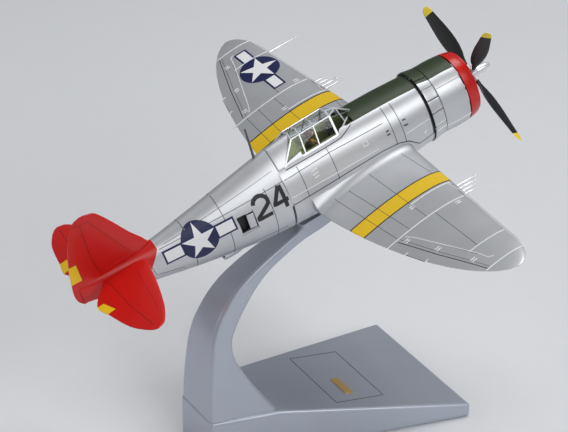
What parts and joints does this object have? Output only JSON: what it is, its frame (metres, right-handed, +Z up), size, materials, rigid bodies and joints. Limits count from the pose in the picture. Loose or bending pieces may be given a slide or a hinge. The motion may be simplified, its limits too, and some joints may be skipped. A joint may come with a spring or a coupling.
{
  "type": "display model aircraft",
  "caption": "Die-cast scale model of a radial-engined piston fighter, nose-up on a curved arm and wedge base.",
  "frame": {"origin": "centre of the base underside, on the table", "axes": "+X towards the nose, +Y to the port wing, +Z up"},
  "size_m": [0.151, 0.1726, 0.1323],
  "materials": {
    "stand_plastic": "satin silver-grey moulded plastic",
    "floor_plastic": "matt grey plastic",
    "screw_steel": "plated steel",
    "plaque_gold": "satin gold plate",
    "silver_paint": "fine metallic silver paint on die-cast zinc",
    "red_paint": "satin red paint",
    "engine_grey": "matt grey",
    "engine_dark": "matt dark grey",
    "hub_silver": "silver paint",
    "blade_black": "semi-gloss black with yellow tips",
    "canopy_clear": "clear moulding with painted frames",
    "cockpit_green": "matt green",
    "panel_black": "matt black",
    "pilot_cloth": "painted figure",
    "mast_grey": "dark grey"
  },
  "bodies": {
    "base": {"base_shell": "stand_plastic", "base_floor": "floor_plastic", "base_screws": "screw_steel", "base_plaque": "plaque_gold"},
    "arm": {"stand_arm": "stand_plastic"},
    "propeller": {"prop_shaft": "screw_steel", "prop_hub": "hub_silver", "prop_blades": "blade_black", "prop_dome": "hub_silver", "shaft_clip": "screw_steel"},
    "aircraft": {"fuselage_casting": "silver_paint", "wing_casting": "silver_paint", "belly_screws": "screw_steel", "tailplane_port": "red_paint", "tailplane_starboard": "red_paint", "cowling": "silver_paint", "nose_ring": "red_paint", "cowl_flaps": "silver_paint", "engine_bulkhead": "engine_grey", "engine_crankcase": "engine_grey", "engine_cylinders": "engine_dark", "canopy_glass": "canopy_clear", "canopy_fairing": "silver_paint", "cockpit_tub": "cockpit_green", "pilot_seat": "cockpit_green", "headrest_plate": "cockpit_green", "rear_deck": "cockpit_green", "instrument_panel": "panel_black", "gunsight": "panel_black", "pilot_figure": "pilot_cloth", "guns_port": "hub_silver", "guns_starboard": "hub_silver", "pitot_tube": "hub_silver", "antenna_mast": "mast_grey", "turbo_hood": "silver_paint", "intercooler_door_port": "silver_paint", "intercooler_door_starboard": "silver_paint"}
  },
  "joints": [
    {"name": "arm_lift", "type": "slide", "parent": "base", "child": "arm", "axis": [0, 0, 1], "range_m": [0, 0.02]},
    {"name": "model_lift", "type": "slide", "parent": "arm", "child": "aircraft", "axis": [-0.3024, 0, 0.9532], "range_m": [0, 0.03]},
    {"name": "propeller_spin", "type": "hinge", "parent": "aircraft", "child": "propeller", "pos_m": [0.0588, 0, 0.1104], "axis": [0.9677, 0, 0.2521], "continuous": true}
  ]
}
